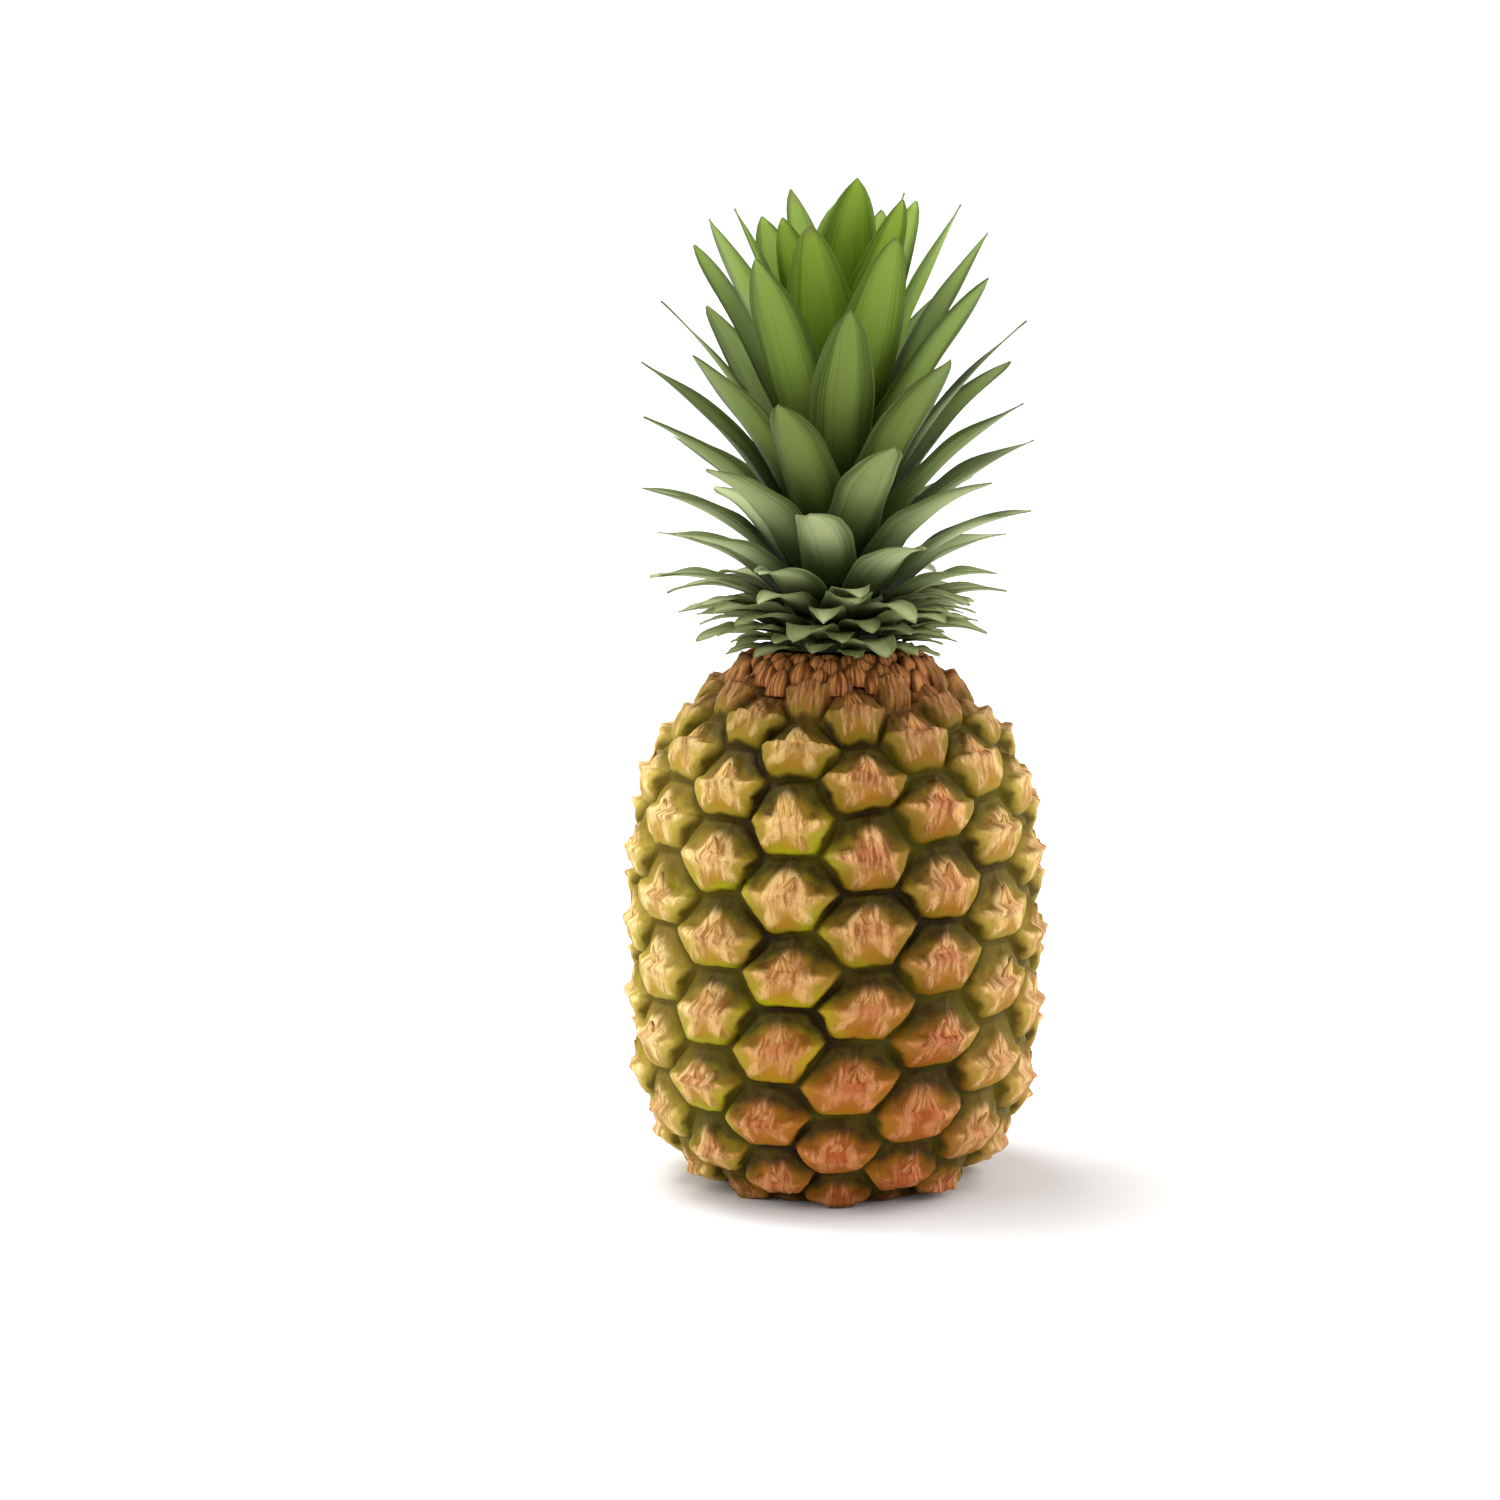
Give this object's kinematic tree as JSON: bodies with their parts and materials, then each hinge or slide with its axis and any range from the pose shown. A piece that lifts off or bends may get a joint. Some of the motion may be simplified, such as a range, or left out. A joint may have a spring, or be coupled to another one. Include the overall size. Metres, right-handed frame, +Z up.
{
  "type": "pineapple",
  "caption": "Whole ripe pineapple standing on its base, with a barrel-shaped fruit covered in bumpy eyes and a full crown of stiff pointed leaves.",
  "frame": {"origin": "centre of the flat spot on the fruit's underside, which the pineapple rests on", "axes": "+Z up along the fruit and crown; -Y is the front; +X is to the right of someone facing the front"},
  "size_m": [0.1253, 0.1253, 0.3029],
  "materials": {
    "rind": "waxy ripe rind, golden tan eyes with dark green-brown grooves",
    "crown_stem": "pale fibrous stem",
    "collar_leaf": "small green leaves with dry tan tips",
    "leaf": "stiff satin green leaf with a grey bloom and lengthwise veins"
  },
  "bodies": {
    "root": {"fruit": "rind", "crown_stem": "crown_stem", "crown_collar": "collar_leaf", "crown_heart": "leaf", "leaf_01": "leaf", "leaf_02": "leaf", "leaf_03": "leaf", "leaf_04": "leaf", "leaf_05": "leaf", "leaf_06": "leaf", "leaf_07": "leaf", "leaf_08": "leaf", "leaf_09": "leaf", "leaf_10": "leaf", "leaf_11": "leaf", "leaf_12": "leaf", "leaf_13": "leaf", "leaf_14": "leaf", "leaf_15": "leaf", "leaf_16": "leaf", "leaf_17": "leaf", "leaf_18": "leaf", "leaf_19": "leaf", "leaf_20": "leaf", "leaf_21": "leaf", "leaf_22": "leaf", "leaf_23": "leaf", "leaf_24": "leaf", "leaf_25": "leaf", "leaf_26": "leaf", "leaf_27": "leaf", "leaf_28": "leaf", "leaf_29": "leaf", "leaf_30": "leaf", "leaf_31": "leaf", "leaf_32": "leaf", "leaf_33": "leaf", "leaf_34": "leaf", "leaf_35": "leaf", "leaf_36": "leaf", "leaf_37": "leaf", "leaf_38": "leaf", "leaf_39": "leaf", "leaf_40": "leaf", "leaf_41": "leaf", "leaf_42": "leaf", "leaf_43": "leaf", "leaf_44": "leaf", "leaf_45": "leaf", "leaf_46": "leaf", "leaf_47": "leaf", "leaf_48": "leaf", "leaf_49": "leaf", "leaf_50": "leaf", "leaf_51": "leaf", "leaf_52": "leaf", "leaf_53": "leaf", "leaf_54": "leaf", "leaf_55": "leaf", "leaf_56": "leaf"}
  },
  "joints": []
}
